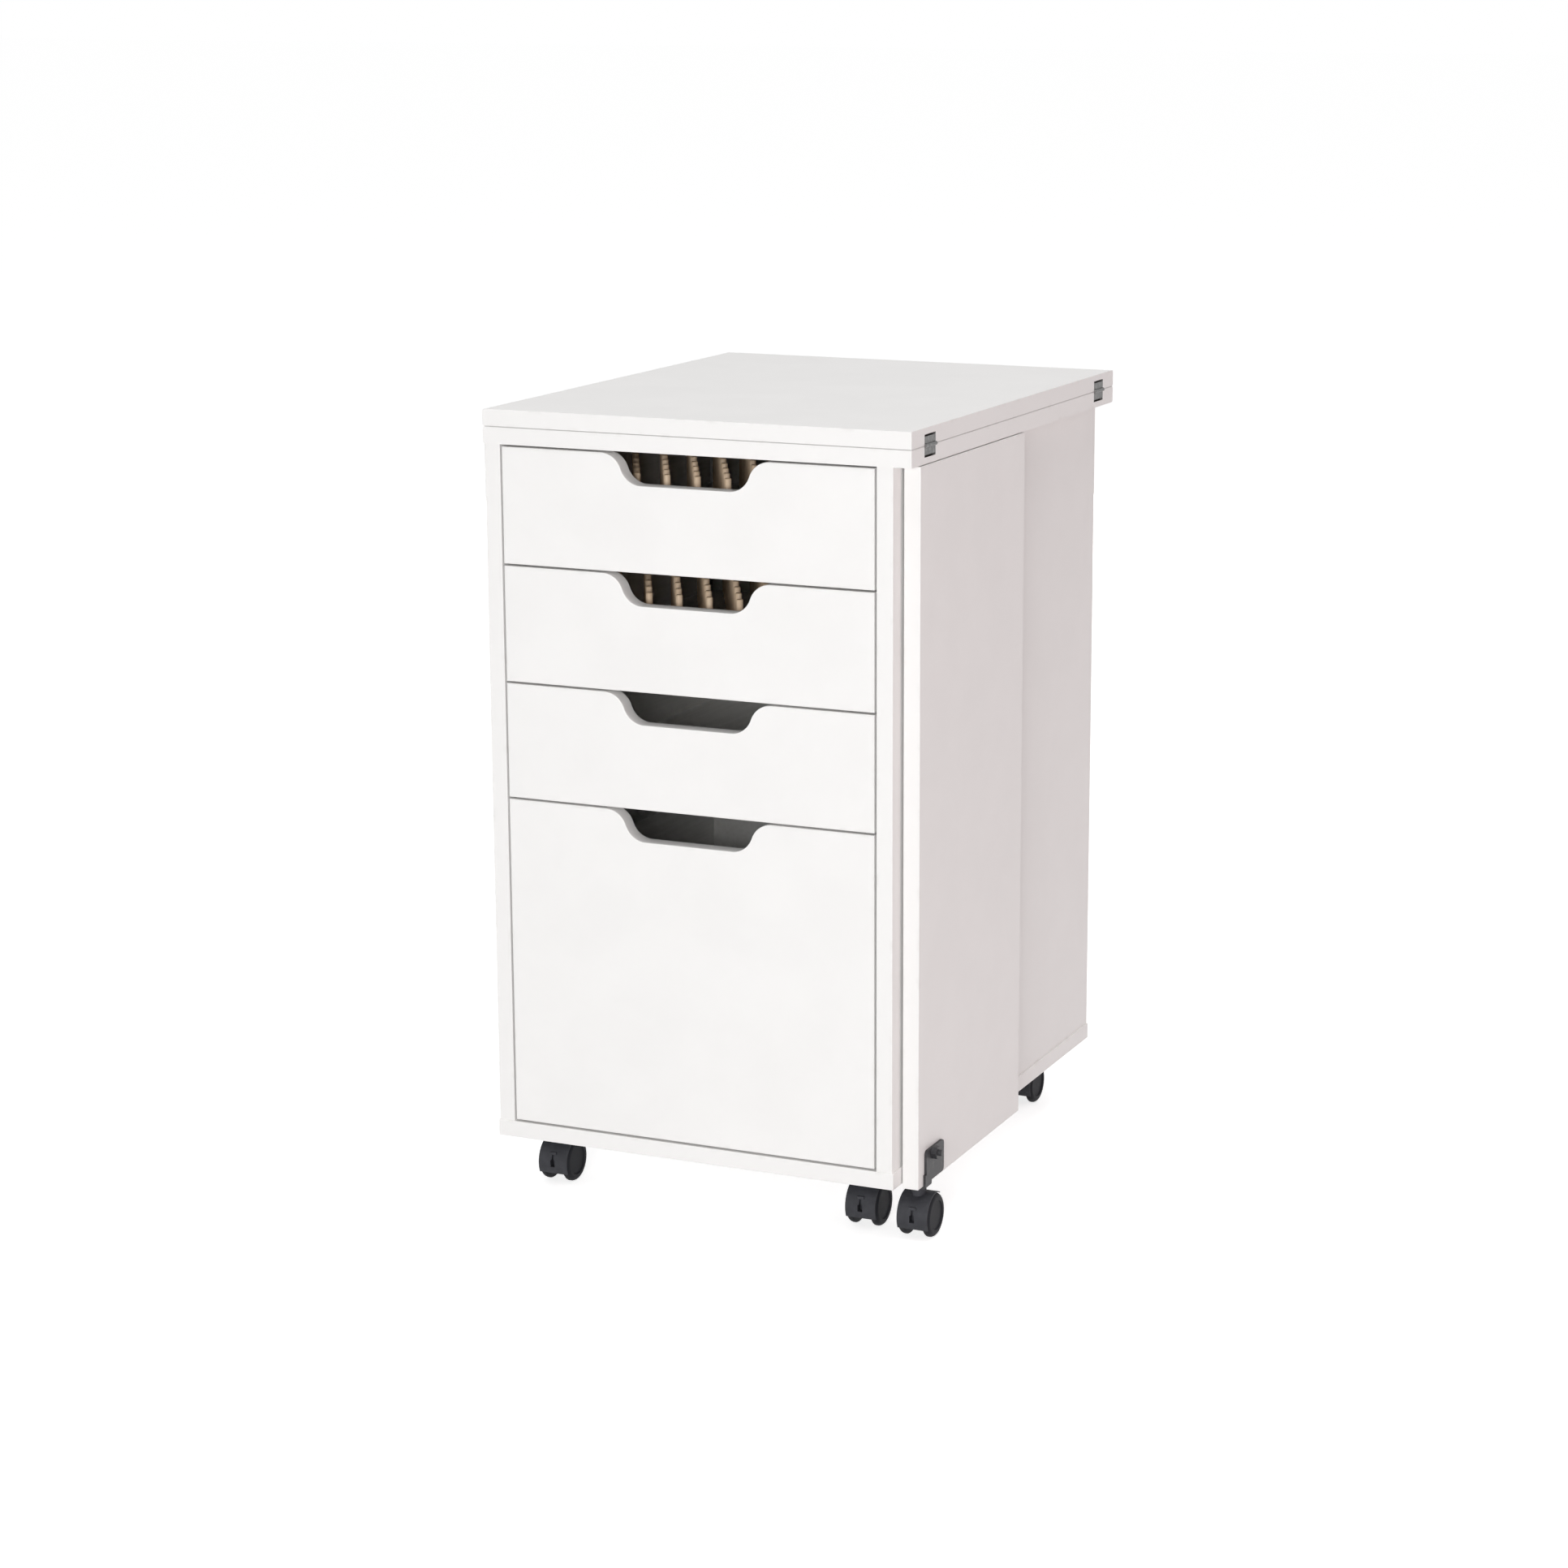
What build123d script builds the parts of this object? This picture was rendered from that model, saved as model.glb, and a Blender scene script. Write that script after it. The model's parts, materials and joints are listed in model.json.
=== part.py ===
from build123d import *
import os

# Folded sewing table: a four-drawer cabinet on casters, with a fold-over top and a gate leg.
# The drawers face -Y and the gate leg lies on the +X side.
# The origin is on the floor, under the middle of the whole object.

# Boards and the carcass
board = 16.0
ease = 0.7
top_round = 2.5
top_width = 430.0
top_depth = 530.0
base_width = 413.5
side_height = 656.0
side_inset = 1.0
cabinet_width = 412.0
rear_inset = 1.0
fold_gap = 0.3

# Drawers
reveal = 2.0
shallow_front = 109.5
shallow_count = 3
front_inset = 1.0
scoop_top = 170.0
scoop_floor = 89.0
scoop_depth = 29.0
box_side = 12.0
box_gap = 2.0
box_depth = 416.0
box_lift = 12.0
box_bottom = 4.0
shallow_side = 80.0
deep_side = 226.0
runner_height = 12.0
runner_reach = 7.0
runner_length = 400.0
runner_start = 30.0
runner_lift = 44.0
deep_runner_lift = 150.0
groove_depth = 6.0
groove_clear = 0.5

# Thread pegs in the two upper drawers
peg_board = 6.0
peg_radius = 3.25
peg_length = 69.0
peg_sunk = 5.0
peg_pitch = 31.0
peg_row_pitch = 30.0
peg_rows = 13
peg_columns = 11
first_peg_row = 45.0
peg_shift = {1: -8.0, 2: 3.0}
peg_edge = 16.0
peg_top_chamfer = 0.8

# Gate leg and its hinges
leg_gap = 2.5
leg_width = 260.0
leg_setback = 20.0
leg_drop = 4.0
leg_top_gap = 1.0
leg_hinge_heights = (150.0, 620.0)
leg_leaf = 1.0
leg_leaf_width = 24.0
leg_hinge_length = 50.0
leg_knuckle = 2.6
leg_pin = 1.5
leg_knuckle_back = 3.4
leg_knuckle_out = 3.0

# Leaf hinges, let into the right edges of the two top boards
hinge_width = 26.0
hinge_end = 30.0
hinge_depth = 3.4
hinge_sunk = 10.2
plate_gauge = 3.0
plate_reach = 8.3
plate_start = 2.1
plate_back = 0.2
strap_overlap = 1.0
leaf_knuckle = 1.8
leaf_pin = 0.9
outer_knuckle = 7.0
knuckle_gap = 0.25

# Casters
caster_height = 56.0
wheel_radius = 21.0
wheel_inner = 9.0
wheel_outer = 16.5
wheel_clear = 0.4
tread_round = 4.5
rim_round = 2.0
dish_radius = 13.5
dish_depth = 1.2
dish_slope = 1.0
trail = 4.0
axle_radius = 2.5
axle_half = 14.5
axle_end_clear = 0.1
hood_radius = 22.4
hood_half = 15.4
hood_round = 0.6
hood_rear_angle = 62.0
hood_sweep = 144.0
web_half = 6.0
hub_radius = 7.0
hub_half = 8.2
boss_radius = 7.0
boss_top = 49.2
boss_bottom = 34.0
pin_radius = 3.0
pin_low = 28.0
pin_end_clear = 1.5
collar_bottom = 49.4
slot_width = 4.8
slot_height = 7.0
slot_depth = 7.0
slot_rise = 0.5
channel_width = 2.4
channel_depth = 3.4
nib_width = 7.0
nib_height = 2.6
nib_rise = 10.5
nib_proud = 1.2
mount_plate = 40.0
mount_gauge = 2.5
mount_corner = 5.0
mount_pitch = 30.0
run_clear = 0.05
caster_left = 40.0
caster_right = 366.0
caster_front = 51.0
caster_rear = 461.0

# Bracket of the leg's caster
bracket_gauge = 2.5
bracket_front = 34.5
bracket_width = 42.5
bracket_height = 31.0
bracket_corner = 4.0
bracket_rise = 3.0
tongue_front = 32.0
tongue_width = 15.0
tongue_gap = 0.1
leg_caster_x = 8.0
leg_caster_y = 41.5
bolt_radius = 3.0
bolt_y = 50.0
bolt_z = 81.0
bolt_end = 4.0
bolt_head = 6.0
nut_height = 5.5
nut_across = 11.0

# Screws
screw_radius = 2.0
screw_head = 4.0
screw_head_height = 2.2
screw_length = 13.0
long_screw = 3.3
long_screw_head = 5.0
long_screw_head_height = 3.0
long_screw_length = 50.0
long_screw_rows = (70.0, 200.0, 330.0, 460.0)
screw_clear = 0.1

# Places that follow from the sizes above
leg_proud = cabinet_width + leg_gap + board - top_width
overall_width = top_width + leg_proud + bracket_gauge + nut_height + bolt_end
left = -overall_width / 2
right = left + top_width
front = -top_depth / 2
rear = top_depth / 2
base_low = caster_height
base_high = base_low + board
top_low = base_high + side_height
top_high = top_low + board
leaf_low = top_high + fold_gap
leaf_high = leaf_low + board
fold_x = right + fold_gap / 2
fold_z = top_high + fold_gap / 2
left_outer = left + side_inset
left_inner = left_outer + board
right_outer = left + cabinet_width
right_inner = right_outer - board
face_y = front + front_inset
box_front = face_y + board
box_rear = box_front + box_depth
leg_inner = right_outer + leg_gap
leg_outer = leg_inner + board
leg_front = front + leg_setback
leg_rear = leg_front + leg_width
leg_low = base_low - leg_drop
leg_high = top_low - leg_top_gap
leg_axis_x = right_outer + leg_knuckle_out
leg_axis_y = leg_rear + leg_knuckle_back
hinge_starts = (front + hinge_end, rear - hinge_end - hinge_width)
middle_x = (left_inner + right_inner) / 2

drawer_levels = []
level = top_low - reveal
for _ in range(shallow_count):
    drawer_levels.append((level - shallow_front, level))
    level -= shallow_front + reveal
drawer_levels.append((base_high + reveal, level))

base_casters = {
    "front_left": (left + caster_left, front + caster_front),
    "front_right": (left + caster_right, front + caster_front),
    "rear_left": (left + caster_left, front + caster_rear),
    "rear_right": (left + caster_right, front + caster_rear),
}
leg_caster = (leg_inner + leg_caster_x, front + leg_caster_y)
all_casters = {**base_casters, "leg": leg_caster}
long_screw_points = [
    (x, front + row)
    for x in (left_outer + board / 2, right_outer - board / 2)
    for row in long_screw_rows
]

os.makedirs("parts", exist_ok=True)


def save(builder, name):
    """Label the finished piece and write it under its own name."""
    builder.part.label = name
    export_step(builder.part, f"parts/{name}.step")


def block(x, y, z, mode=Mode.ADD):
    """Box between two limits on each axis, in the open part."""
    middle = ((x[0] + x[1]) / 2, (y[0] + y[1]) / 2, (z[0] + z[1]) / 2)
    with Locations(middle):
        Box(x[1] - x[0], y[1] - y[0], z[1] - z[0], mode=mode)


def upright(point, radius, z, mode=Mode.ADD):
    """Round bar along Z between two heights, in the open part."""
    with Locations((point[0], point[1], (z[0] + z[1]) / 2)):
        Cylinder(radius, z[1] - z[0], mode=mode)


def bar_along_y(x, z, radius, y, mode=Mode.ADD):
    """Round bar along Y between two limits, in the open part."""
    with Locations((x, (y[0] + y[1]) / 2, z)):
        Cylinder(radius, y[1] - y[0], rotation=(90, 0, 0), mode=mode)


def bar_along_x(point, radius, x, mode=Mode.ADD):
    """Round bar along X between two limits, in the open part; point is (y, z)."""
    with Locations(((x[0] + x[1]) / 2, point[0], point[1])):
        Cylinder(radius, x[1] - x[0], rotation=(0, 90, 0), mode=mode)


# Base panel, drilled for the long screws
with BuildPart() as base_panel:
    block((left, left + base_width), (front, rear - rear_inset), (base_low, base_high))
    fillet(base_panel.edges(), ease)
    for point in long_screw_points:
        upright(point, long_screw + screw_clear, (base_low, base_high), Mode.SUBTRACT)
        head_room = (base_low, base_low + long_screw_head_height + screw_clear)
        upright(point, long_screw_head + screw_clear, head_room, Mode.SUBTRACT)
save(base_panel, "base_panel")

# Side panels stand on the base
with BuildPart() as left_side:
    block((left_outer, left_inner), (face_y, rear - rear_inset), (base_high, top_low))
    fillet(left_side.edges().filter_by(Axis.Z), ease)
save(left_side, "left_side")

with BuildPart() as right_side:
    block((right_inner, right_outer), (face_y, rear - rear_inset), (base_high, top_low))
    fillet(right_side.edges().filter_by(Axis.Z), ease)
save(right_side, "right_side")

# Back panel between the sides
with BuildPart() as back_panel:
    back_y = rear - 2 * rear_inset
    block((left_inner, right_inner), (back_y - board, back_y), (base_high, top_low))
save(back_panel, "back_panel")


def top_board(name, z, recess_z):
    """One of the two equal top boards: rounded left and rear edges, hinge recesses on the right."""
    with BuildPart() as slab:
        block((left, right), (front, rear), z)
        flat_edges = slab.edges().filter_by(Plane.XY)
        soft_edges = flat_edges.group_by(Axis.X)[0] + flat_edges.group_by(Axis.Y)[-1]
        fillet(soft_edges, top_round)
        for start in hinge_starts:
            recess_y = (start - run_clear, start + hinge_width + run_clear)
            block((right - hinge_depth, right), recess_y, recess_z, Mode.SUBTRACT)
    save(slab, name)


# The fixed top, and the leaf folded flat on it
top_board("fixed_top", (top_low, top_high), (top_high - hinge_sunk, top_high))
top_board("folding_leaf", (leaf_low, leaf_high), (leaf_low, leaf_low + hinge_sunk))


def leaf_hinge_half(start, direction, knuckles):
    """Plate and knuckles of one half of a leaf hinge; direction is +1 above the fold line, -1 below it."""
    plate_x = (right - plate_back - plate_gauge, right - plate_back)
    strap_x = (right - leaf_knuckle, right - plate_back)
    ends = sorted((fold_z + direction * plate_start, fold_z + direction * plate_reach))
    block(plate_x, (start, start + hinge_width), ends)
    for y in knuckles:
        block(strap_x, y, sorted((fold_z, fold_z + direction * (plate_start + strap_overlap))))
        bar_along_y(fold_x, fold_z, leaf_knuckle, y)
        bar_along_y(fold_x, fold_z, leaf_pin + run_clear, y, Mode.SUBTRACT)


def outer_knuckles(start):
    """Y limits of the two end knuckles of a leaf hinge."""
    end = start + hinge_width
    return ((start, start + outer_knuckle), (end - outer_knuckle, end))


def middle_knuckle(start):
    """Y limits of the middle knuckle of a leaf hinge."""
    inset = outer_knuckle + knuckle_gap
    return ((start + inset, start + hinge_width - inset),)


# Leaf hinges: fixed plates, moving plates and pins
with BuildPart() as leaf_hinge_fixed_plates:
    for start in hinge_starts:
        leaf_hinge_half(start, -1, outer_knuckles(start))
save(leaf_hinge_fixed_plates, "leaf_hinge_fixed_plates")

with BuildPart() as leaf_hinge_moving_plates:
    for start in hinge_starts:
        leaf_hinge_half(start, 1, middle_knuckle(start))
save(leaf_hinge_moving_plates, "leaf_hinge_moving_plates")

with BuildPart() as leaf_hinge_pins:
    for start in hinge_starts:
        bar_along_y(fold_x, fold_z, leaf_pin, (start, start + hinge_width))
save(leaf_hinge_pins, "leaf_hinge_pins")

# Gate leg: a panel on the right side, bored for the bracket's countersunk bolt
with BuildPart() as gate_leg:
    block((leg_inner, leg_outer), (leg_front, leg_rear), (leg_low, leg_high))
    fillet(gate_leg.edges(), ease)
    bolt_place = Plane((leg_inner, front + bolt_y, bolt_z), x_dir=(0, 1, 0), z_dir=(-1, 0, 0))
    with Locations(bolt_place):
        CounterSinkHole(bolt_radius + run_clear, bolt_head + run_clear, board, counter_sink_angle=90)
save(gate_leg, "gate_leg")


def leg_hinge_half(low, leaf_x, knuckles):
    """Leaf and knuckles of one half of a leg hinge."""
    leaf_y = (leg_rear - leg_leaf_width, leg_rear)
    block(leaf_x, leaf_y, (low, low + leg_hinge_length))
    for z in knuckles:
        block(leaf_x, (leg_rear, leg_axis_y), z)
        upright((leg_axis_x, leg_axis_y), leg_knuckle, z)
        upright((leg_axis_x, leg_axis_y), leg_pin + run_clear, z, Mode.SUBTRACT)


third = leg_hinge_length / 3

# Leg hinges: butt hinges in the gap between the cabinet and the leg
with BuildPart() as leg_hinge_fixed_leaves:
    for low in leg_hinge_heights:
        lower = (low, low + third - knuckle_gap)
        upper = (low + 2 * third + knuckle_gap, low + leg_hinge_length)
        leg_hinge_half(low, (right_outer, right_outer + leg_leaf), (lower, upper))
save(leg_hinge_fixed_leaves, "leg_hinge_fixed_leaves")

with BuildPart() as leg_hinge_moving_leaves:
    for low in leg_hinge_heights:
        centre = (low + third, low + 2 * third)
        leg_hinge_half(low, (leg_inner - leg_leaf, leg_inner), (centre,))
save(leg_hinge_moving_leaves, "leg_hinge_moving_leaves")

with BuildPart() as leg_hinge_pins:
    for low in leg_hinge_heights:
        upright((leg_axis_x, leg_axis_y), leg_pin, (low, low + leg_hinge_length))
save(leg_hinge_pins, "leg_hinge_pins")


def is_deep(number):
    """True for the lowest drawer, which is the deep one."""
    return number > shallow_count


def drawer_front(number, low, high):
    """Front board whose upper edge dips in a scooped handle cut-out."""
    x_low = left_inner + reveal
    x_high = right_inner - reveal
    half_top = scoop_top / 2
    half_floor = scoop_floor / 2
    half_mid = (half_top + half_floor) / 2
    floor_z = high - scoop_depth
    mid_z = high - scoop_depth / 2
    lip_start = (middle_x - half_top, high)
    lip_end = (middle_x + half_top, high)
    with BuildPart() as front_board:
        with BuildSketch(Plane.XZ.offset(-face_y)):
            with BuildLine():
                left_lip = TangentArc(lip_start, (middle_x - half_mid, mid_z), tangent=(1, 0))
                floor_start = (middle_x - half_floor, floor_z)
                left_bowl = TangentArc(left_lip @ 1, floor_start, tangent=left_lip % 1)
                scoop_base = Line(left_bowl @ 1, (middle_x + half_floor, floor_z))
                right_bowl = TangentArc(scoop_base @ 1, (middle_x + half_mid, mid_z), tangent=(1, 0))
                right_lip = TangentArc(right_bowl @ 1, lip_end, tangent=right_bowl % 1)
                corners = [(x_high, high), (x_high, low), (x_low, low), (x_low, high)]
                Polyline(right_lip @ 1, *corners, left_lip @ 0)
            make_face()
        extrude(amount=-board)
        fillet(front_board.faces().sort_by(Axis.Y)[0].edges(), ease)
    save(front_board, f"drawer_{number}_front")


def drawer_sides(number, low):
    """Pair of box sides, each grooved on its outer face for a runner."""
    height = deep_side if is_deep(number) else shallow_side
    lift = deep_runner_lift if is_deep(number) else runner_lift
    side_low = low + box_lift + box_bottom
    groove_z = (low + lift - groove_clear, low + lift + runner_height + groove_clear)
    groove_y = (front + runner_start - groove_clear, box_rear)
    left_x = left_inner + box_gap
    right_x = right_inner - box_gap
    with BuildPart() as sides:
        block((left_x, left_x + box_side), (box_front, box_rear), (side_low, side_low + height))
        block((right_x - box_side, right_x), (box_front, box_rear), (side_low, side_low + height))
        block((left_x, left_x + groove_depth), groove_y, groove_z, Mode.SUBTRACT)
        block((right_x - groove_depth, right_x), groove_y, groove_z, Mode.SUBTRACT)
    save(sides, f"drawer_{number}_sides")


def drawer_back(number, low):
    """Back of the drawer box, between its sides."""
    height = deep_side if is_deep(number) else shallow_side
    side_low = low + box_lift + box_bottom
    x = (left_inner + box_gap + box_side, right_inner - box_gap - box_side)
    with BuildPart() as back:
        block(x, (box_rear - box_side, box_rear), (side_low, side_low + height))
    save(back, f"drawer_{number}_back")


def drawer_bottom(number, low):
    """Thin bottom sheet, nailed under the sides and the back."""
    x = (left_inner + box_gap, right_inner - box_gap)
    with BuildPart() as bottom:
        block(x, (box_front, box_rear), (low + box_lift, low + box_lift + box_bottom))
    save(bottom, f"drawer_{number}_bottom")


def peg_points(number):
    """Staggered rows of peg centres inside a drawer."""
    x_low = left_inner + box_gap + box_side + peg_edge
    x_high = right_inner - box_gap - box_side - peg_edge
    points = []
    for row in range(peg_rows):
        stagger = peg_pitch / 2 * (row % 2)
        for column in range(-peg_columns // 2, peg_columns // 2 + 2):
            x = middle_x + peg_shift[number] + column * peg_pitch - stagger
            if x_low <= x <= x_high:
                points.append((x, front + first_peg_row + row * peg_row_pitch))
    return points


def thread_pegs(number, low):
    """Peg board on the drawer bottom, with turned pegs set in blind holes."""
    board_low = low + box_lift + box_bottom
    hole_low = board_low + peg_board - peg_sunk
    inside = box_gap + box_side + groove_clear
    x = (left_inner + inside, right_inner - inside)
    y = (box_front + groove_clear, box_rear - box_side - groove_clear)
    points = peg_points(number)
    with BuildPart() as peg_panel:
        block(x, y, (board_low, board_low + peg_board))
        with BuildSketch(Plane.XY.offset(hole_low)):
            with Locations(*points):
                Circle(peg_radius + run_clear)
        extrude(amount=peg_sunk, mode=Mode.SUBTRACT)
    save(peg_panel, f"drawer_{number}_peg_board")
    with BuildPart() as pegs:
        with BuildSketch(Plane.XY.offset(hole_low)):
            with Locations(*points):
                Circle(peg_radius)
        extrude(amount=peg_length)
        chamfer(pegs.faces().filter_by(Axis.Z).group_by(Axis.Z)[-1].edges(), peg_top_chamfer)
    save(pegs, f"drawer_{number}_thread_pegs")


# Drawers, from the top down
for number, (low, high) in enumerate(drawer_levels, start=1):
    drawer_front(number, low, high)
    drawer_sides(number, low)
    drawer_back(number, low)
    drawer_bottom(number, low)
    if number in peg_shift:
        thread_pegs(number, low)

# Runners on the cabinet sides, a pair for each drawer
with BuildPart() as drawer_runners:
    for number, (low, high) in enumerate(drawer_levels, start=1):
        lift = deep_runner_lift if is_deep(number) else runner_lift
        runner_z = (low + lift, low + lift + runner_height)
        runner_y = (front + runner_start, front + runner_start + runner_length)
        block((left_inner, left_inner + runner_reach), runner_y, runner_z)
        block((right_inner - runner_reach, right_inner), runner_y, runner_z)
save(drawer_runners, "drawer_runners")

# Long screws up through the base into the sides
with BuildPart() as cabinet_screws:
    for point in long_screw_points:
        upright(point, long_screw_head, (base_low, base_low + long_screw_head_height))
        upright(point, long_screw, (base_low, base_low + long_screw_length))
save(cabinet_screws, "cabinet_screws")

screw_points = [
    (x + across * mount_pitch / 2, y + along * mount_pitch / 2)
    for x, y in base_casters.values()
    for across in (-1, 1)
    for along in (-1, 1)
]
plate_low = base_low - mount_gauge

# Caster plates under the base, each with its pivot pin
with BuildPart() as caster_mounts:
    for x, y in base_casters.values():
        with BuildSketch(Plane((x, y, plate_low))):
            RectangleRounded(mount_plate, mount_plate, mount_corner)
            with GridLocations(mount_pitch, mount_pitch, 2, 2):
                Circle(screw_radius + screw_clear, mode=Mode.SUBTRACT)
        extrude(amount=mount_gauge)
        upright((x, y), boss_radius, (collar_bottom, plate_low))
        upright((x, y), pin_radius, (pin_low, collar_bottom))
save(caster_mounts, "caster_mounts")

with BuildPart() as caster_screws:
    for point in screw_points:
        upright(point, screw_head, (plate_low - screw_head_height, plate_low))
        upright(point, screw_radius, (plate_low, plate_low + screw_length))
    heads = caster_screws.faces().filter_by(Axis.Z).group_by(Axis.Z)[0]
    fillet(heads.edges(), screw_head_height / 2)
save(caster_screws, "caster_screws")

tongue_high = leg_low - tongue_gap
tongue_low = tongue_high - bracket_gauge
bracket_x = (leg_outer, leg_outer + bracket_gauge)
tongue_y = (front + tongue_front, front + tongue_front + tongue_width)

# Angle bracket: a plate on the leg's outer face, and a tongue bent under the leg
with BuildPart() as leg_caster_bracket:
    plate_middle_y = front + bracket_front + bracket_width / 2
    plate_middle_z = leg_low + bracket_rise + bracket_height / 2
    plate_face = Plane((leg_outer, plate_middle_y, plate_middle_z), x_dir=(0, 1, 0), z_dir=(1, 0, 0))
    with BuildSketch(plate_face):
        RectangleRounded(bracket_width, bracket_height, bracket_corner)
    extrude(amount=bracket_gauge)
    block(bracket_x, tongue_y, (tongue_low, leg_low + bracket_rise + 2 * bracket_corner))
    block((leg_inner + bracket_gauge, leg_outer + bracket_gauge), tongue_y, (tongue_low, tongue_high))
    bend = leg_caster_bracket.edges().filter_by(Axis.Y).group_by(Axis.Z)[0].sort_by(Axis.X)[-1]
    fillet(bend, bracket_gauge)
    bar_along_x((front + bolt_y, bolt_z), bolt_radius + run_clear, bracket_x, Mode.SUBTRACT)
save(leg_caster_bracket, "leg_caster_bracket")

nut_start = leg_outer + bracket_gauge

# Countersunk bolt through the leg, with its nut outside
with BuildPart() as leg_bracket_bolt:
    bolt_axis = (front + bolt_y, bolt_z)
    bar_along_x(bolt_axis, bolt_radius, (leg_inner, nut_start + nut_height + bolt_end))
    head_height = bolt_head - bolt_radius
    with Locations((leg_inner + head_height / 2, bolt_axis[0], bolt_axis[1])):
        Cone(bolt_head, bolt_radius, head_height, rotation=(0, 90, 0))
    with BuildSketch(Plane((nut_start, bolt_axis[0], bolt_axis[1]), x_dir=(0, 1, 0), z_dir=(1, 0, 0))):
        RegularPolygon(nut_across / 2, 6, major_radius=False)
        Circle(bolt_radius + run_clear, mode=Mode.SUBTRACT)
    extrude(amount=nut_height)
save(leg_bracket_bolt, "leg_bracket_bolt")

# Pivot pin of the leg's caster, under the bracket's tongue
with BuildPart() as leg_caster_pin:
    upright(leg_caster, pin_radius, (pin_low, tongue_low))
save(leg_caster_pin, "leg_caster_pin")


def axle_centre(place):
    """Middle of a caster's axle, behind its pivot pin by the trail."""
    return (place[0], place[1] + trail, wheel_radius)


def caster_hood(name, place):
    """Swivelling hood: a part-round shell over both wheels, a web between them and a boss for the pin."""
    centre = axle_centre(place)
    across = Plane(centre, x_dir=(0, 1, 0), z_dir=(1, 0, 0))
    nose_y = centre[1] - hood_radius
    slot_z = centre[2] + slot_rise
    nib_z = centre[2] + nib_rise
    nib_y = centre[1] - (hood_radius ** 2 - nib_rise ** 2) ** 0.5
    with BuildPart() as hood:
        with BuildSketch(across):
            with BuildLine():
                crown = CenterArc((0, 0), hood_radius, hood_rear_angle, hood_sweep)
                Polyline(crown @ 1, (0, 0), crown @ 0)
            make_face()
        extrude(amount=hood_half, both=True)
        fillet(hood.edges().filter_by(GeomType.CIRCLE), hood_round)
        upright(place, boss_radius, (boss_bottom, boss_top))
        for side in (-1, 1):
            with BuildSketch(across.offset(side * web_half)):
                Circle(wheel_radius + wheel_clear)
            extrude(amount=side * hood_half, mode=Mode.SUBTRACT)
        with BuildSketch(across):
            Circle(hub_radius)
        extrude(amount=hub_half, both=True)
        nib_x = (centre[0] - nib_width / 2, centre[0] + nib_width / 2)
        nib_z_limits = (nib_z - nib_height / 2, nib_z + nib_height / 2)
        block(nib_x, (nib_y - nib_proud, nib_y + nib_proud), nib_z_limits)
        slot_x = (centre[0] - slot_width / 2, centre[0] + slot_width / 2)
        slot_z_limits = (slot_z - slot_height / 2, slot_z + slot_height / 2)
        block(slot_x, (nose_y, nose_y + slot_depth), slot_z_limits, Mode.SUBTRACT)
        channel_x = (centre[0] - channel_width / 2, centre[0] + channel_width / 2)
        channel_z = (slot_z, nib_z_limits[0])
        block(channel_x, (nose_y, nose_y + channel_depth), channel_z, Mode.SUBTRACT)
        upright(place, pin_radius + run_clear, (pin_low - pin_end_clear, boss_top), Mode.SUBTRACT)
        axle_x = (centre[0] - hood_half, centre[0] + hood_half)
        bar_along_x(centre[1:], axle_radius + run_clear, axle_x, Mode.SUBTRACT)
    save(hood, f"caster_{name}_hood")


def caster_axle(name, place):
    """Steel axle held in the hood's hub."""
    centre = axle_centre(place)
    with BuildPart() as axle:
        bar_along_x(centre[1:], axle_radius, (centre[0] - axle_half, centre[0] + axle_half))
    save(axle, f"caster_{name}_axle")


def caster_wheel(name, place, hand, side):
    """One wheel under the hood: a rounded tread and a dished outer face."""
    centre = axle_centre(place)
    bore = axle_radius + run_clear
    bore_end = axle_half + axle_end_clear
    outline = [
        (wheel_inner, bore),
        (wheel_inner, wheel_radius),
        (wheel_outer, wheel_radius),
        (wheel_outer, dish_radius + dish_slope),
        (wheel_outer - dish_depth, dish_radius),
        (wheel_outer - dish_depth, 0),
        (bore_end, 0),
        (bore_end, bore),
    ]
    with BuildPart() as wheel:
        with BuildSketch(Plane(centre, x_dir=(1, 0, 0), z_dir=(0, -1, 0))):
            with BuildLine():
                Polyline(*[(side * along, out) for along, out in outline], close=True)
            make_face()
        revolve(axis=Axis(centre, (1, 0, 0)))
        tread_edges = wheel.edges().filter_by(GeomType.CIRCLE).group_by(SortBy.RADIUS)[-1].sort_by(Axis.X)
        inner_edge = tread_edges[0] if side > 0 else tread_edges[-1]
        outer_edge = tread_edges[-1] if side > 0 else tread_edges[0]
        fillet(inner_edge, rim_round)
        fillet(outer_edge, tread_round)
    save(wheel, f"caster_{name}_{hand}_wheel")


# Casters: four under the base and one under the leg
for name, place in all_casters.items():
    caster_hood(name, place)
    caster_axle(name, place)
    caster_wheel(name, place, "left", -1)
    caster_wheel(name, place, "right", 1)
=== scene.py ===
# %% [markdown]
# # A folded sewing table in white board
#
# The table is a drawer cabinet on casters. Its top is two equal boards, one folded flat on the other, and a
# gate leg lies against the right side, ready to swing out and carry the leaf. The solids come from the
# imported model, at their real size and in their real places. This lesson sets the camera, gives every piece
# its finish, and then adds the studio: floor, world and light.

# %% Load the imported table
import json
import math

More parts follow.
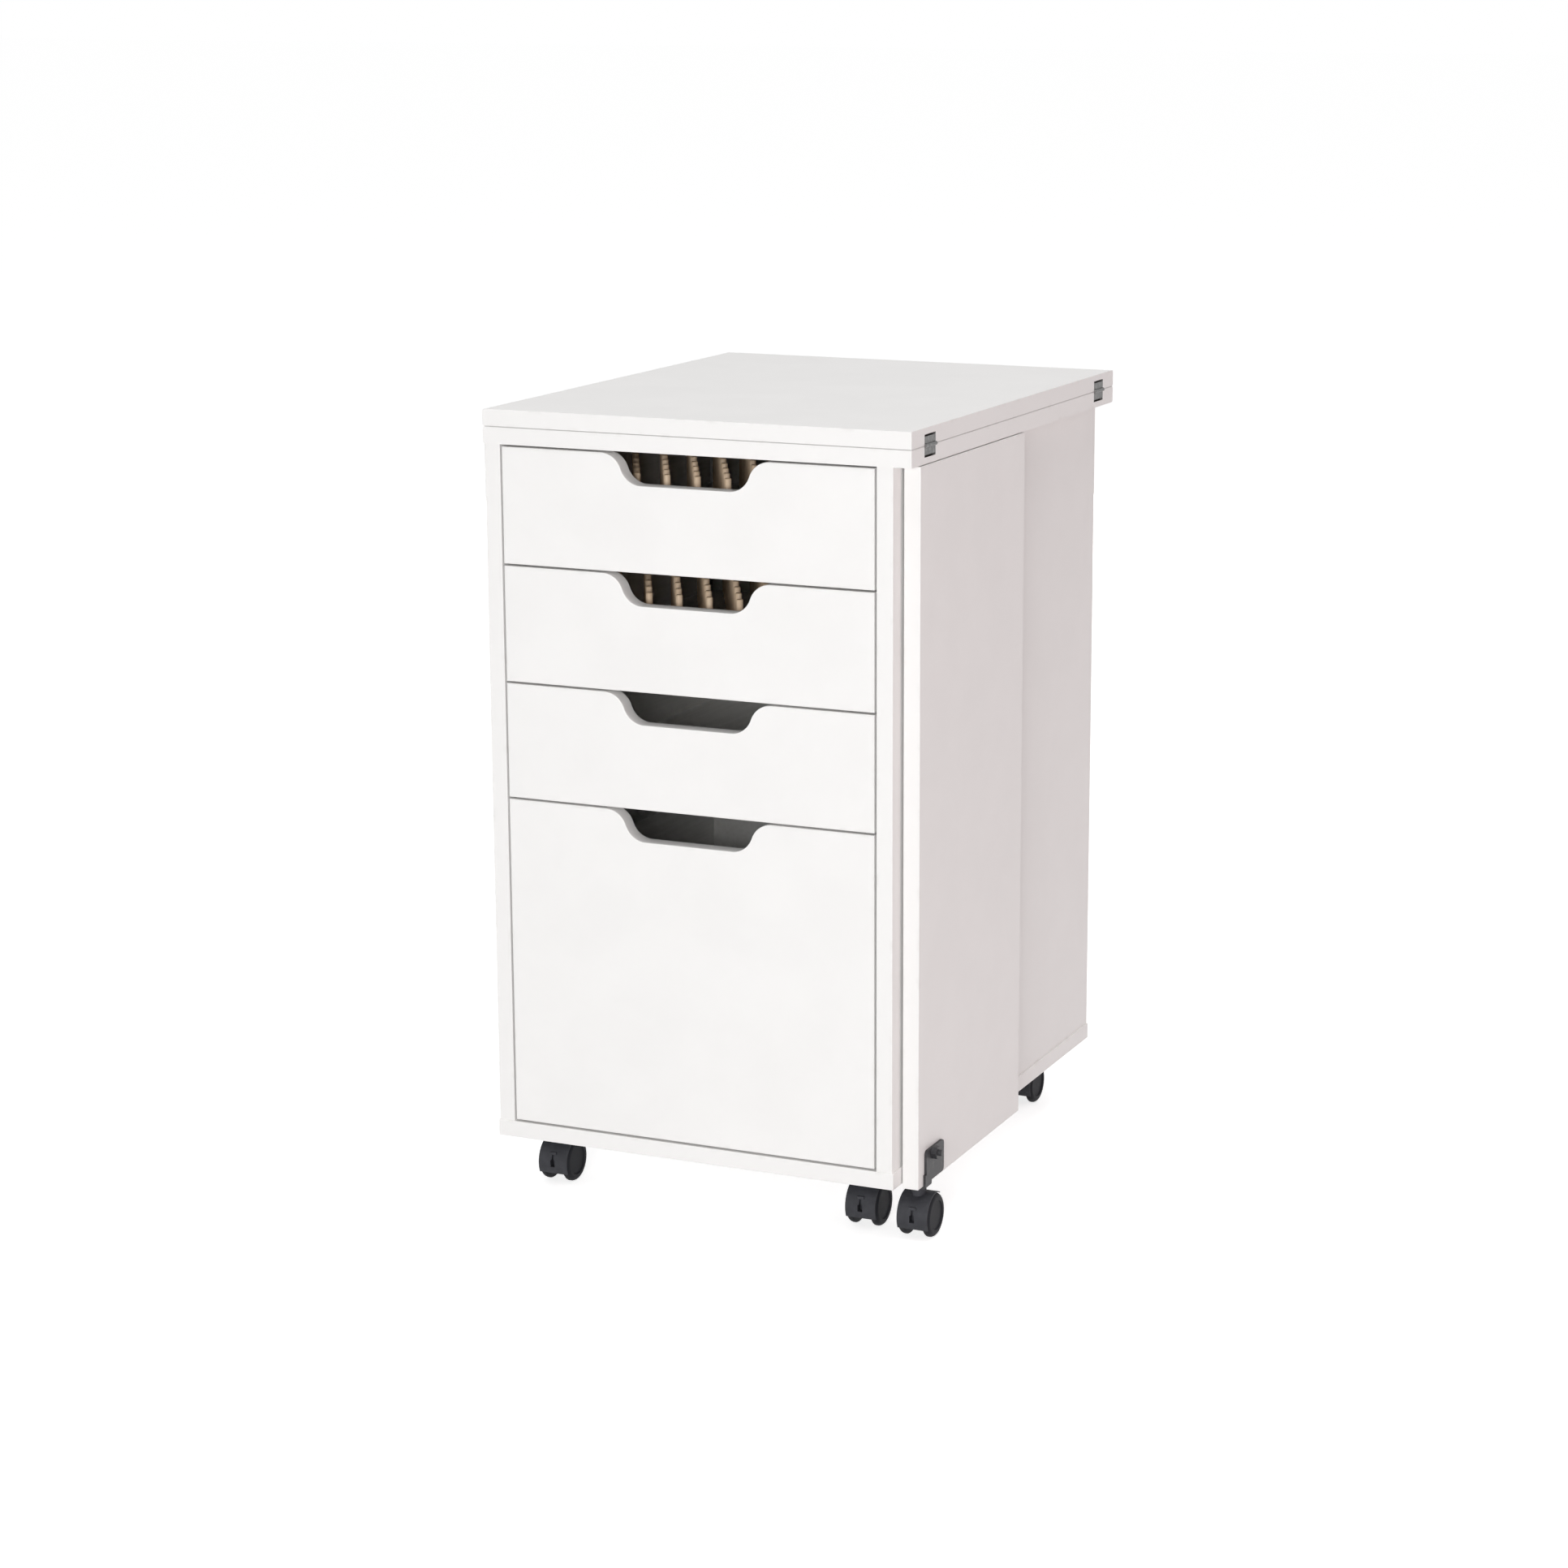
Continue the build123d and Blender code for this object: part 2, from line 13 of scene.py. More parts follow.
import bpy
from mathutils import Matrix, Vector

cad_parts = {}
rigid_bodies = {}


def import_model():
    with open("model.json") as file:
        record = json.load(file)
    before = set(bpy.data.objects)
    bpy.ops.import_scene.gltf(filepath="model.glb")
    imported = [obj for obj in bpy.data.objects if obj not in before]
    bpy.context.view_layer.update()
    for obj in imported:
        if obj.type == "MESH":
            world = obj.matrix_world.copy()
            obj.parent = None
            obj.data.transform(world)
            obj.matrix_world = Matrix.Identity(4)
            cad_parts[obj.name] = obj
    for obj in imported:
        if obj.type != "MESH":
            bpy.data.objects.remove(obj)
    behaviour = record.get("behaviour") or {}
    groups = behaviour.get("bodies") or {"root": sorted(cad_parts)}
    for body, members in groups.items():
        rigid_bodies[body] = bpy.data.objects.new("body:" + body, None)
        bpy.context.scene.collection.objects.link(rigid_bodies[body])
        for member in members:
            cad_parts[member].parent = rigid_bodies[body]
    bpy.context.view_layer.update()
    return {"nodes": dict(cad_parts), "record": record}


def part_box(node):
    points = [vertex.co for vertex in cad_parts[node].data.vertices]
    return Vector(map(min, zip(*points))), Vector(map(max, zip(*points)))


for leftover in list(bpy.data.objects):
    bpy.data.objects.remove(leftover)
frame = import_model()

# %% [markdown]
# ## Camera
#
# The photograph was taken from the front right, from a little above table height, with a long lens. A
# camera could be set by eye, but then the proportions could not be compared. Here the edges of the boards
# fix it: where they converge gives the angle, and how fast they converge gives the distance. A small
# sideways shift stands for the crop of the picture.

# %% Place the camera
camera_spot = (1.4237, -3.1946, 1.1707)
camera_tilt = 77.079
camera_turn = 23.262
camera_lens = 83.17
camera_shift = -0.0518

camera_data = bpy.data.cameras.new("studio_camera")
camera_data.lens = camera_lens
camera_data.shift_x = camera_shift
camera = bpy.data.objects.new("studio_camera", camera_data)
camera.location = camera_spot
camera.rotation_euler = (math.radians(camera_tilt), 0, math.radians(camera_turn))
bpy.context.scene.collection.objects.link(camera)
bpy.context.scene.camera = camera
bpy.context.scene.view_settings.view_transform = "Standard"
print("camera is", round(camera.location.length, 2), "m from the origin")

# %% [markdown]
# ## Arithmetic on sockets
#
# A finish is a graph of nodes, and most of its nodes are small sums: a mask times a strength, one minus a
# mask. Written as nodes they hide the idea, so one class wraps an output socket and gives it Python's own
# operators. Each operator adds one Math node. Every other kind of node comes from the same `node` method:
# its settings are set first, and then its sockets.

# %% Wrap a socket


class Wire:
    """An output socket that Python's operators can work on."""

    def __init__(self, socket):
        self.socket = socket
        self.tree = socket.id_data

    @classmethod
    def node(cls, tree, kind, settings=None, sockets=None, out=0):
        """Add a node: its settings first, then the values or wires of its sockets.

        Gives a wire from the output that is asked for, or a list of wires for a tuple of outputs.
        """
        made = tree.nodes.new(kind)
        for key, value in (settings or {}).items():
            setattr(made, key, value)
        for key, value in (sockets or {}).items():
            if isinstance(value, cls):
                tree.links.new(value.socket, made.inputs[key])
            else:
                made.inputs[key].default_value = value
        if isinstance(out, tuple):
            return [cls(made.outputs[name]) for name in out]
        return cls(made.outputs[out])

    def math(self, operation, first, second=0.0):
        """One Math node in the graph of this wire."""
        return self.node(self.tree, "ShaderNodeMath", {"operation": operation}, {0: first, 1: second})

    def __add__(self, other):
        return self.math("ADD", self, other)

    def __radd__(self, other):
        return self.math("ADD", other, self)

    def __sub__(self, other):
        return self.math("SUBTRACT", self, other)

    def __rsub__(self, other):
        return self.math("SUBTRACT", other, self)

    def __mul__(self, other):
        return self.math("MULTIPLY", self, other)

    def __rmul__(self, other):
        return self.math("MULTIPLY", other, self)

    def __abs__(self):
        return self.math("ABSOLUTE", self)

    def root(self):
        return self.math("SQRT", self)

    def wave(self):
        return self.math("SINE", self)

    def least(self, other):
        return self.math("MINIMUM", self, other)

    def most(self, other):
        return self.math("MAXIMUM", self, other)

    def ease(self, low, high):
        """Smooth step from 0 at low to 1 at high."""
        sockets = {"Value": self, "From Min": low, "From Max": high}
        return self.node(self.tree, "ShaderNodeMapRange", {"interpolation_type": "SMOOTHSTEP"}, sockets)

    def blend(self, low_colour, high_colour):
        """Colour between two others, with this wire as the share of the second.

        A Mix node has sockets for numbers, vectors and colours: 6 and 7 take colours, and output 2 gives one.
        """
        sockets = {0: self, 6: low_colour, 7: high_colour}
        return self.node(self.tree, "ShaderNodeMix", {"data_type": "RGBA"}, sockets, out=2)

    def noise(self, scale, detail=2.0, roughness=0.5):
        """Soft noise over these coordinates; scale is in cycles per metre."""
        sockets = {"Vector": self, "Scale": scale, "Detail": detail, "Roughness": roughness}
        return self.node(self.tree, "ShaderNodeTexNoise", None, sockets)

    def streaks(self, cycles, detail=2.0, roughness=0.5):
        """Noise that is drawn out: cycles holds the cycles per metre along X, Y and Z."""
        settings = {"operation": "MULTIPLY"}
        stretched = self.node(self.tree, "ShaderNodeVectorMath", settings, {0: self, 1: cycles})
        return stretched.noise(1.0, detail, roughness)

    def cells(self, scale):
        """A random value for each cell of a crystal pattern over these coordinates."""
        sockets = {"Vector": self, "Scale": scale}
        return self.node(self.tree, "ShaderNodeTexVoronoi", None, sockets, "Color").split()[0]

    def split(self):
        """The X, Y and Z of these coordinates."""
        return self.node(self.tree, "ShaderNodeSeparateXYZ", None, {"Vector": self}, ("X", "Y", "Z"))

    def bump(self, strength, distance):
        """A normal that follows this wire as a height."""
        sockets = {"Height": self, "Strength": strength, "Distance": distance}
        return self.node(self.tree, "ShaderNodeBump", None, sockets, "Normal")


print("sockets can be added, subtracted and multiplied")

# %% [markdown]
# ## Start a finish, and dress pieces in it
#
# Every finish begins with the same shader and three sets of coordinates: the place of a point in the table,
# its normal, and its place in the piece's own box, from 0 to 1. The first moves with the piece, so a
# pattern stays on a drawer that slides. Finishes could be assigned piece by piece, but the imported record
# names a material slot for every piece, so one call dresses all the pieces of a slot.

# %% Helpers for finishes
coordinate_words = ("Object", "Normal", "Generated")


def rgb(red, green, blue):
    """A colour in linear light, with its alpha."""
    return (red, green, blue, 1.0)


def start_finish(name):
    """New material: itself, its surface shader, and a wire for each kind of coordinates."""
    finish = bpy.data.materials.new(name)
    finish.use_nodes = True
    wires = Wire.node(finish.node_tree, "ShaderNodeTexCoord", out=coordinate_words)
    return finish, finish.node_tree.nodes["Principled BSDF"], dict(zip(coordinate_words, wires))


def join(shader, **wires):
    """Link wires into the shader; the word's underscores stand for spaces."""
    for word, wire in wires.items():
        wire.tree.links.new(wire.socket, shader.inputs[word.replace("_", " ")])


def dress(slot, finish):
    """Give a finish to every piece of one material slot."""
    pieces = [entry["node"] for entry in frame["record"]["subparts"] if entry["material_slot"] == slot]
    for name in pieces:
        frame["nodes"][name].data.materials[0] = finish
    print(finish.name, "is on", len(pieces), "pieces")


print("coordinates of a finish:", coordinate_words)

# %% [markdown]
# ## Distance to the edge of a board
#
# Bands, glue lines and traces of handling all follow the narrow edges of a board. They could be painted on
# an unwrapped surface, but a board's box already tells where its edges are. A point on a face lies at
# distance 0 from one pair of the box's sides, so the middle one of its three distances is the way to the
# nearest edge.

# %% Measure to the nearest edge


def to_nearest_edge(place, node):
    """Distance from a point of a board to the nearest of its edges, in metres."""
    low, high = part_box(node)
    x, y, z = [(along - a).least(b - along) for along, a, b in zip(place.split(), low, high)]
    return x.least(y).most(x.most(y).least(z))


leaf_low, leaf_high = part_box("folding_leaf")
print("thickness of the leaf in metres:", round(leaf_high.z - leaf_low.z, 4))

# %% [markdown]
# ## Fold seam and hinge pockets
#
# Dust gathers along the line where the two tops meet, and the gap there lies in shade, so a thin grey seam
# is painted on their bands: dust and painted shade. Where the hinges are let into the tops, the cut goes
# through the white sheet into the chipboard. The pockets are real cuts in the solids. Their walls are painted
# near black, much darker than raw chipboard, as painted shade deep in the cut. A mask worked out from the
# places of the hinge plates colours their walls, and leaves the mesh as it is.

# %% Mark the two tops
# Seam colour: dust and painted shade of the narrow gap between the two tops.
seam_dust_and_shade_grey = rgb(0.42, 0.41, 0.40)
seam_dust_and_shade_share = 0.4
seam_dust_and_shade_reach = 0.0005
# Pocket walls: painted shade, near black, much darker than raw chipboard.
pocket_shade_black = rgb(0.02, 0.015, 0.011)
pocket_width = 0.0262
pocket_depth = 0.0035
pocket_reach = 0.0104
skin = 0.0002
fold_line = (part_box("fixed_top")[1].z + leaf_low.z) / 2


def between(distance, start, end):
    """1 where a distance lies between two values, with soft ends one skin wide."""
    return distance.ease(start, start + skin) * (1 - distance.ease(end, end + skin))


def hinge_pockets(place):
    """1 on the walls of the pockets that are cut for the leaf hinges, and 0 elsewhere."""
    plates_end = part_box("leaf_hinge_fixed_plates")[1].y
    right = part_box("fixed_top")[1].x
    x, y, z = place.split()
    inside = between(right - x, 0.0, pocket_depth)
    along = between(abs(y), plates_end - pocket_width, plates_end)
    upright = 1 - abs(z - fold_line).ease(pocket_reach, pocket_reach + skin)
    return inside * along * upright


def mark_top(colour, place, band):
    """The colour of a top board, with a seam of dust and painted shade on its band, and painted shade in the
    pockets.
    """
    _, _, z = place.split()
    # Seam on the bands at the fold line: dust and painted shade of the gap.
    seam = (1 - abs(z - fold_line).ease(seam_dust_and_shade_reach, seam_dust_and_shade_reach + skin)) * band
    colour = (seam * seam_dust_and_shade_share).blend(colour, seam_dust_and_shade_grey)
    # Pocket walls painted near black as shade deep in the cut.
    return hinge_pockets(place).blend(colour, pocket_shade_black)


print("fold line in metres:", round(fold_line, 4))

# %% [markdown]
# ## White board
#
# The boards are chipboard under a thin white melamine sheet, with a plastic band glued on every narrow
# edge. A flat white would look like plaster. The real sheet has a fine pressed texture that breaks up the
# highlights, the band is a shade smoother than the face, a hairline of glue shows where the two meet, and
# the corners pick up a little grey from handling. The normal tells the face of a board from its band. Each
# board has its own copy of the finish, because the masks follow its own box.

# %% White board finish
face_white = rgb(0.905, 0.897, 0.886)
face_shade = rgb(0.885, 0.877, 0.866)
sheet_clouds = {"scale": 14.0, "detail": 3.0}
cloud_range = (0.3, 0.7)
sheet_grain = {"scale": 2600.0, "detail": 1.0}
sheet_relief = {"strength": 0.12, "distance": 0.0002}
sheet_rough = 0.36
grain_rough = 0.10
cloud_rough = 0.05

band_white = rgb(0.894, 0.885, 0.874)
band_turn = (0.5, 0.8)
band_depth = 0.0009
band_polish = 0.06
band_calm = 0.6

glue_grey = rgb(0.62, 0.60, 0.57)
glue_half = 0.00018
glue_share = 0.45
glue_groove = 1.5

handled_grey = rgb(0.78, 0.765, 0.745)
handled_reach = 0.004
hand_smudges = {"scale": 60.0, "detail": 4.0}
smudge_range = (0.5, 0.75)
handled_share = 0.5
handled_rough = 0.1


def white_board(node, across):
    """Melamine finish for one board; across is the axis of its thickness."""
    finish, shader, source = start_finish(f"white_board_{node}")
    place = source["Object"]
    edge = to_nearest_edge(place, node)
    band = 1 - abs(source["Normal"].split()[across]).ease(*band_turn)
    glue = (1 - abs(edge - band_depth).ease(0.0, glue_half)) * (1 - band)
    handled = (1 - edge.ease(0.0, handled_reach)) * place.noise(**hand_smudges).ease(*smudge_range)
    clouds = place.noise(**sheet_clouds)
    grain = place.noise(**sheet_grain)
    colour = band.blend(clouds.ease(*cloud_range).blend(face_shade, face_white), band_white)
    colour = (glue * glue_share).blend(colour, glue_grey)
    colour = (handled * handled_share).blend(colour, handled_grey)
    if node in ("fixed_top", "folding_leaf"):
        colour = mark_top(colour, place, band)
    rough = sheet_rough + grain_rough * grain + cloud_rough * clouds
    rough = rough - band_polish * band + handled_rough * handled
    height = grain * (1 - band_calm * band) - glue * glue_groove
    join(shader, Base_Color=colour, Roughness=rough, Normal=height.bump(**sheet_relief))
    return finish


print("edge band in metres:", band_depth)

# %% [markdown]
# ## Dress the boards
#
# A lying board is thin along Z, the sides and the leg along X, and the back and the drawer fronts along Y.
# The thickness could be read from the box, but a short list says plainly how each board stands.

# %% Dress the boards
along_x, along_y, along_z = 0, 1, 2
thickness_axis = {
    "base_panel": along_z, "fixed_top": along_z, "folding_leaf": along_z,
    "left_side": along_x, "right_side": along_x, "gate_leg": along_x,
    "back_panel": along_y,
    "drawer_1_front": along_y, "drawer_2_front": along_y,
    "drawer_3_front": along_y, "drawer_4_front": along_y,
}
for node, across in thickness_axis.items():
    frame["nodes"][node].data.materials[0] = white_board(node, across)
print("white boards:", len(thickness_axis))

# %% [markdown]
# ## Drawer board
#
# Inside, the drawer boxes are thinner board wrapped in a printed white foil with a faint straight grain. An
# image could carry the grain, but noise that is drawn out along the drawer repeats nowhere and stays sharp
# close up.

# %% Drawer board finish
foil_white = rgb(0.86, 0.85, 0.83)
foil_shade = rgb(0.81, 0.80, 0.775)
foil_grain = {"cycles": (240.0, 9.0, 240.0), "detail": 4.0, "roughness": 0.6}
foil_range = (0.35, 0.7)
foil_pores = (1500.0, 60.0, 1500.0)
foil_relief = {"strength": 0.1, "distance": 0.0002}
foil_rough = 0.42
pore_rough = 0.14


def drawer_board():
    """Foil-faced board with a faint straight grain along the drawer."""
    finish, shader, source = start_finish("drawer_board_foil")
    place = source["Object"]
    pores = place.streaks(foil_pores)
    colour = place.streaks(**foil_grain).ease(*foil_range).blend(foil_white, foil_shade)
    rough = foil_rough + pore_rough * pores
    join(shader, Base_Color=colour, Roughness=rough, Normal=pores.bump(**foil_relief))
    return finish


dress("drawer_board", drawer_board())

# %% [markdown]
# ## Runners
#
# The runners are strips of waxy white plastic, rubbed in long streaks by the drawers that slide on them.
# The streaks are drawn-out noise again. Here it also lowers the roughness, because rubbed wax shines.

# %% Runner finish
runner_white = rgb(0.80, 0.80, 0.775)
runner_shade = rgb(0.74, 0.735, 0.71)
runner_rubs = {"cycles": (500.0, 6.0, 500.0), "detail": 3.0}
runner_range = (0.4, 0.7)
runner_grain = 1800.0
runner_relief = {"strength": 0.08, "distance": 0.0002}
runner_rough = 0.5
runner_polish = 0.22


def runner_plastic():
    """Moulded strip, with long rubbed streaks."""
    finish, shader, source = start_finish("runner_plastic_waxy")
    place = source["Object"]
    rubbed = place.streaks(**runner_rubs)
    colour = rubbed.ease(*runner_range).blend(runner_white, runner_shade)
    rough = runner_rough - runner_polish * rubbed
    join(shader, Base_Color=colour, Roughness=rough, Normal=place.noise(runner_grain).bump(**runner_relief))
    return finish


dress("runner_plastic", runner_plastic())

# %% [markdown]
# ## Birch thread pegs
#
# The pegs are turned from birch, so the grain runs up each peg and the top shows darker end grain. The wood
# could be cut from rings round a trunk, but a peg is too thin to show them. Noise that is drawn out along Z
# gives the fibres, and the piece's own normal tells the tops from the sides.

# %% Birch finish
birch_pale = rgb(0.86, 0.68, 0.50)
birch_dark = rgb(0.70, 0.50, 0.33)
birch_end = rgb(0.55, 0.38, 0.22)
birch_fibres = {"cycles": (900.0, 900.0, 18.0), "detail": 4.0, "roughness": 0.6}
fibre_range = (0.3, 0.75)
birch_flecks = (260.0, 260.0, 40.0)
fleck_range = (0.62, 0.74)
fleck_share = 0.35
end_turn = (0.6, 0.9)
end_share = 0.6
birch_relief = {"strength": 0.2, "distance": 0.0003}
birch_rough = 0.5
fibre_rough = 0.2


def birch():
    """Turned birch: long fibres, a few darker flecks, darker end grain."""
    finish, shader, source = start_finish("birch_turned")
    place = source["Object"]
    upward = source["Normal"].split()[along_z].ease(*end_turn)
    fibres = place.streaks(**birch_fibres)
    flecks = place.streaks(birch_flecks).ease(*fleck_range)
    colour = fibres.ease(*fibre_range).blend(birch_pale, birch_dark)
    colour = (flecks * fleck_share).blend(colour, birch_dark)
    colour = (upward * end_share).blend(colour, birch_end)
    rough = birch_rough + fibre_rough * fibres
    join(shader, Base_Color=colour, Roughness=rough, Normal=fibres.bump(**birch_relief))
    return finish


dress("birch", birch())

# %% [markdown]
# ## Zinc steel
#
# Hinges, pins and screws are steel with a dull zinc coat. Zinc crystals give it patches a shade apart, and
# rolling leaves fine lines along the metal. One grey would do from far away. Cells and drawn-out noise hold
# up close to a hinge too, and need no unwrapping of so many small pieces.

# %% Zinc finish
zinc_pale = rgb(0.26, 0.26, 0.255)
zinc_dark = rgb(0.14, 0.14, 0.14)
zinc_crystals = 420.0
crystal_share = 0.5
zinc_lines = (300.0, 300.0, 5200.0)
zinc_rubs = {"scale": 260.0, "detail": 4.0}
zinc_rub_range = (0.45, 0.7)
zinc_relief = {"strength": 0.12, "distance": 0.0001}
zinc_metal = 0.85
zinc_rough = 0.36
line_rough = 0.14
crystal_rough = 0.1


def zinc_steel():
    """Dull zinc: crystal patches, rolling lines and rubbed spots."""
    finish, shader, source = start_finish("zinc_steel_dull")
    place = source["Object"]
    patches = place.cells(zinc_crystals)
    lines = place.streaks(zinc_lines)
    rubbed = place.noise(**zinc_rubs).ease(*zinc_rub_range)
    colour = (crystal_share * patches + (1 - crystal_share) * rubbed).blend(zinc_dark, zinc_pale)
    rough = zinc_rough + line_rough * lines + crystal_rough * patches
    shader.inputs["Metallic"].default_value = zinc_metal
    join(shader, Base_Color=colour, Roughness=rough, Normal=lines.bump(**zinc_relief))
    return finish


dress("zinc_steel", zinc_steel())

# %% [markdown]
# ## Black powder coat
#
# The leg's bracket and the caster plates are steel under a baked powder. The powder melts into a fine
# pebble, which softens the highlight, and it wears a shade paler where it is rubbed. The pebble could be
# modelled, but at this size a bump does the same for the light.

# %% Powder coat finish
coat_black = rgb(0.022, 0.022, 0.025)
coat_worn = rgb(0.05, 0.05, 0.054)
coat_pebble = 1900.0
coat_rubs = {"scale": 120.0, "detail": 4.0}
coat_rub_range = (0.55, 0.75)
coat_relief = {"strength": 0.3, "distance": 0.0003}
coat_rough = 0.42
pebble_rough = 0.16


def powder_coat():
    """Black powder coat: pebbled, a shade paler where it is rubbed."""
    finish, shader, source = start_finish("black_steel_powder_coat")
    place = source["Object"]
    pebble = place.noise(coat_pebble)
    colour = place.noise(**coat_rubs).ease(*coat_rub_range).blend(coat_black, coat_worn)
    rough = coat_rough + pebble_rough * pebble
    join(shader, Base_Color=colour, Roughness=rough, Normal=pebble.bump(**coat_relief))
    return finish


dress("black_steel", powder_coat())

# %% [markdown]
# ## Charcoal hoods
#
# The hood of a caster is moulded in charcoal plastic with an even spark-eroded grain. Plain black plastic
# mirrors the white studio and looks grey, so the specular level is low. It is the same all over, so it is
# set on the shader's own socket.

# %% Hood finish
hood_black = rgb(0.029, 0.030, 0.0355)
hood_pale = rgb(0.042, 0.043, 0.050)
hood_grain = 3200.0
hood_clouds = {"scale": 90.0, "detail": 3.0}
hood_range = (0.3, 0.75)
hood_relief = {"strength": 0.25, "distance": 0.0002}
hood_specular = 0.28
hood_rough = 0.46
hood_grain_rough = 0.16


def hood_plastic():
    """Charcoal moulding with an even fine grain."""
    finish, shader, source = start_finish("hood_plastic_charcoal")
    place = source["Object"]
    grain = place.noise(hood_grain)
    colour = place.noise(**hood_clouds).ease(*hood_range).blend(hood_black, hood_pale)
    shader.inputs["Specular IOR Level"].default_value = hood_specular
    rough = hood_rough + hood_grain_rough * grain
    join(shader, Base_Color=colour, Roughness=rough, Normal=grain.bump(**hood_relief))
    return finish


dress("hood_plastic", hood_plastic())

# %% [markdown]
# ## Black wheels
#
# The wheels are harder and smoother than the hoods, with faint rings from the mould on their faces and a
# scuffed, dusty tread. Face and tread could be two slots, but a wheel's own box runs from 0 to 1 on each
# axis, so the distance from its middle tells one from the other on every wheel alike.

# %% Wheel finish
wheel_black = rgb(0.019, 0.0195, 0.023)
wheel_dust = rgb(0.05, 0.05, 0.05)
box_middle = 0.5
ring_rate = 190.0
ring_height = 0.25
tread_range = (0.93, 0.99)
wheel_scuffs = {"scale": 420.0, "detail": 5.0, "roughness": 0.65}
scuff_range = (0.45, 0.7)
dust_share = 0.8
wheel_grain = 2600.0
wheel_relief = {"strength": 0.15, "distance": 0.0002}
wheel_specular = 0.09
wheel_rough = 0.48
wheel_grain_rough = 0.1
scuff_rough = 0.2


def wheel_plastic():
    """Hard black wheel: mould rings on the face, dust and scuffs on the tread."""
    finish, shader, source = start_finish("wheel_plastic_black")
    place = source["Object"]
    across, up = [share - box_middle for share in source["Generated"].split()[along_y:]]
    radius = (across * across + up * up).root() * 2
    rings = (radius * ring_rate).wave()
    tread = radius.ease(*tread_range)
    scuffs = place.noise(**wheel_scuffs).ease(*scuff_range)
    grain = place.noise(wheel_grain)
    colour = (tread * scuffs * dust_share).blend(wheel_black, wheel_dust)
    rough = wheel_rough + wheel_grain_rough * grain + scuff_rough * tread * scuffs
    shader.inputs["Specular IOR Level"].default_value = wheel_specular
    height = grain + ring_height * rings
    join(shader, Base_Color=colour, Roughness=rough, Normal=height.bump(**wheel_relief))
    return finish


dress("wheel_plastic", wheel_plastic())

# %% [markdown]
# ## Floor
#
# The photograph has a plain white ground. A floor that is simply white turns grey in soft light, and more
# light would bleach the table. So the floor glows, but only to the camera and in reflections: the Light
# Path node tells those rays from the rays that light the table. The floor still takes the table's shadow.

# %% Floor
floor_half = 40.0
floor_drop = 0.0002
floor_pale = rgb(0.8, 0.8, 0.8)
floor_rough = 0.9
floor_lift = 0.7
direct_rays = ("Is Camera Ray", "Is Glossy Ray", "Is Transmission Ray")


def seen_directly(tree):
    """1 for rays from the camera, a mirror or glass, and 0 for the rays that light the table."""
    camera_ray, glossy_ray, clear_ray = Wire.node(tree, "ShaderNodeLightPath", out=direct_rays)
    return camera_ray.most(glossy_ray).most(clear_ray)


floor_mesh = bpy.data.meshes.new("studio_floor")
corners = [(x * floor_half, y * floor_half, -floor_drop) for x, y in ((-1, -1), (1, -1), (1, 1), (-1, 1))]
floor_mesh.from_pydata(corners, [], [(0, 1, 2, 3)])
floor = bpy.data.objects.new("studio_floor", floor_mesh)
bpy.context.scene.collection.objects.link(floor)

floor_finish = bpy.data.materials.new("studio_floor_white")
floor_finish.use_nodes = True
floor_tree = floor_finish.node_tree
matt_shader = floor_tree.nodes["Principled BSDF"]
matt_shader.inputs["Base Color"].default_value = floor_pale
matt_shader.inputs["Roughness"].default_value = floor_rough
matt_shader.inputs["Specular IOR Level"].default_value = 0.0
matt = Wire(matt_shader.outputs[0])
glow_sockets = {"Color": floor_pale, "Strength": floor_lift / floor_pale[0]}
glow = Wire.node(floor_tree, "ShaderNodeEmission", None, glow_sockets)
lifted = Wire.node(floor_tree, "ShaderNodeAddShader", None, {0: matt, 1: glow})
mixed = Wire.node(floor_tree, "ShaderNodeMixShader", None, {0: seen_directly(floor_tree), 1: matt, 2: lifted})
floor_tree.links.new(mixed.socket, floor_tree.nodes["Material Output"].inputs["Surface"])
floor_mesh.materials.append(floor_finish)
print("floor half width:", floor_half, "m")

# %% [markdown]
# ## World
#
# The world is the light from all around. A white world would light the table flat and too bright, so it is
# a plain grey for the rays that light the table. To the camera and in reflections it is white, so the
# background is white, and metal and plastic mirror the same white room.

